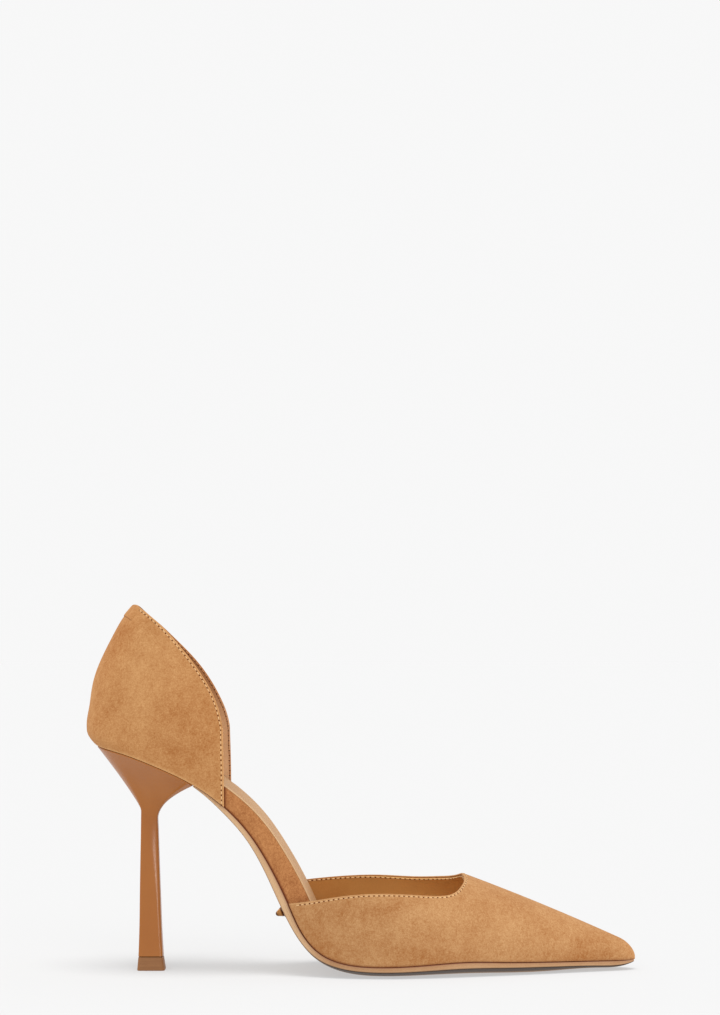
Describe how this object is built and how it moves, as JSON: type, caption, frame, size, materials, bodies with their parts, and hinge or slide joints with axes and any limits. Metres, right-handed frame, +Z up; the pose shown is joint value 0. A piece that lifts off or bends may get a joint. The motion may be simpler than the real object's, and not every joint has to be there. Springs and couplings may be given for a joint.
{
  "type": "high heel shoe",
  "caption": "Pointed suede d'Orsay pump with cut-away sides, wrapped waist, thin leather sole and a slim squared stiletto heel.",
  "frame": {"origin": "on the floor, under the middle of the shoe's box", "axes": "+X from the heel to the toe, +Y to the inner side of the foot, +Z up"},
  "size_m": [0.2328, 0.075, 0.155],
  "materials": {
    "suede": "napped suede, lined with smooth leather",
    "sole_leather": "smooth, burnished edge",
    "sock_leather": "smooth, soft sheen",
    "heel_cover": "satin gloss",
    "heel_rubber": "matte",
    "stud_brass": "dark, satin"
  },
  "bodies": {
    "root": {"outsole": "sole_leather", "waist_wrap": "suede", "insole": "sock_leather", "vamp": "suede", "quarter": "suede", "back_tab": "suede", "heel": "heel_cover", "top_piece": "heel_rubber", "sole_stud": "stud_brass"}
  },
  "joints": []
}
